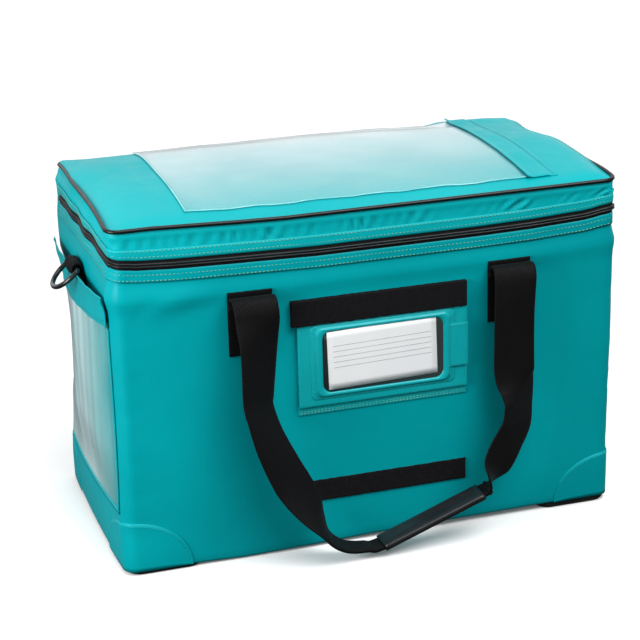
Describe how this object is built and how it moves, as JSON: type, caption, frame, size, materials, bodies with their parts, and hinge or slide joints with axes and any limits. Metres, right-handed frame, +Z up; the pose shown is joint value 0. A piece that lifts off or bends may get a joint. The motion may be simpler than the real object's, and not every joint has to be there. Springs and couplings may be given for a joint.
{
  "type": "vaccine carrier",
  "caption": "Soft insulated vaccine carrier with a zip-round padded lid, webbing carry handles, D-rings, a fold-down address flap and clear document pockets.",
  "frame": {"origin": "middle of the footprint on the floor", "axes": "+Z up, front panel with the address flap faces -Y, end with the document pocket faces -X"},
  "size_m": [0.5244, 0.3402, 0.3304],
  "materials": {
    "teal_fabric": "coated nylon, soft sheen",
    "webbing": "woven",
    "hook_and_loop": "fuzzy",
    "clear_sheet": "clear flexible sheet",
    "foam": "closed-cell foam",
    "lining": "white wipe-clean sheet",
    "base_board": "stiff board",
    "zip_tape": "woven",
    "zip_teeth": "satin",
    "piping": "glossy",
    "rubber": "matte",
    "grip_vinyl": "satin vinyl",
    "black_metal": "glossy black",
    "card": "matte card",
    "backing": "matte black sheet"
  },
  "bodies": {
    "case": {"outer_shell": "teal_fabric", "base_board": "base_board", "foam_front": "foam", "foam_back": "foam", "foam_left": "foam", "foam_right": "foam", "foam_base": "foam", "inner_liner": "lining", "rim_cover": "lining", "rubber_feet": "rubber", "corner_patches": "teal_fabric", "case_zip_facing": "teal_fabric", "case_zip_tape": "zip_tape", "case_zip_coil": "zip_teeth", "hinge_strip_lower": "teal_fabric", "end_pocket_welt": "teal_fabric", "end_pocket_sheet": "clear_sheet", "end_pocket_hem": "teal_fabric", "front_anchors": "webbing", "back_anchors": "webbing", "upper_loop_strip": "hook_and_loop", "lower_loop_strip": "hook_and_loop", "flap_seam": "teal_fabric", "ring_tab_left": "webbing", "ring_tab_right": "webbing"},
    "lid": {"lid_shell": "teal_fabric", "lid_foam": "foam", "lid_liner": "lining", "lid_piping": "piping", "lid_zip_tape": "zip_tape", "lid_zip_coil": "zip_teeth", "lid_zip_facing": "teal_fabric", "hinge_strip_upper": "teal_fabric", "lid_window": "clear_sheet", "lid_cover_seam": "teal_fabric"},
    "address_flap": {"flap_panel": "teal_fabric", "flap_hook_rear": "hook_and_loop", "flap_hook_front": "hook_and_loop", "flap_frame": "teal_fabric", "flap_backing": "backing", "flap_card": "card", "flap_film": "clear_sheet", "flap_side_tab": "teal_fabric"},
    "front_handle": {"front_strap": "webbing", "front_grip": "grip_vinyl"},
    "back_handle": {"back_strap": "webbing", "back_grip": "grip_vinyl"},
    "ring_left": {"ring_left": "black_metal"},
    "ring_right": {"ring_right": "black_metal"},
    "pocket_cover": {"lid_pocket_cover": "teal_fabric"},
    "slider_front": {"zip_slider_front": "black_metal"},
    "slider_rear": {"zip_slider_rear": "black_metal"},
    "pull_front": {"zip_pull_front": "black_metal"},
    "pull_rear": {"zip_pull_rear": "black_metal"}
  },
  "joints": [
    {"name": "lid_hinge", "type": "hinge", "parent": "case", "child": "lid", "pos_m": [0, 0.121, 0.2853], "axis": [-1, 0, 0], "range_deg": [0, 165]},
    {"name": "front_handle_fold", "type": "hinge", "parent": "case", "child": "front_handle", "pos_m": [0, -0.1235, 0.2505], "axis": [-1, 0, 0], "range_deg": [0, 155]},
    {"name": "back_handle_fold", "type": "hinge", "parent": "case", "child": "back_handle", "pos_m": [0, 0.1235, 0.2505], "axis": [-1, 0, 0], "range_deg": [-155, 0]},
    {"name": "address_flap_fold", "type": "hinge", "parent": "case", "child": "address_flap", "pos_m": [0, -0.1232, 0.138], "axis": [1, 0, 0], "range_deg": [0, 150]},
    {"name": "ring_left_pivot", "type": "hinge", "parent": "case", "child": "ring_left", "pos_m": [-0.24, 0, 0.255], "axis": [0, 1, 0], "range_deg": [0, 130]},
    {"name": "ring_right_pivot", "type": "hinge", "parent": "case", "child": "ring_right", "pos_m": [0.24, 0, 0.255], "axis": [0, -1, 0], "range_deg": [0, 130]},
    {"name": "pocket_cover_fold", "type": "hinge", "parent": "lid", "child": "pocket_cover", "pos_m": [0.177, 0, 0.3294], "axis": [0, 1, 0], "range_deg": [0, 120]},
    {"name": "slider_front_travel", "type": "slide", "parent": "case", "child": "slider_front", "axis": [0, 1, 0], "range_m": [-0.13, 0]},
    {"name": "slider_rear_travel", "type": "slide", "parent": "case", "child": "slider_rear", "axis": [0, 1, 0], "range_m": [0, 0.025]},
    {"name": "pull_front_pivot", "type": "hinge", "parent": "slider_front", "child": "pull_front", "pos_m": [0.2408, 0.0495, 0.2853], "axis": [0, -1, 0], "range_deg": [0, 170]},
    {"name": "pull_rear_pivot", "type": "hinge", "parent": "slider_rear", "child": "pull_rear", "pos_m": [0.2408, 0.0645, 0.2853], "axis": [0, -1, 0], "range_deg": [0, 170]}
  ]
}
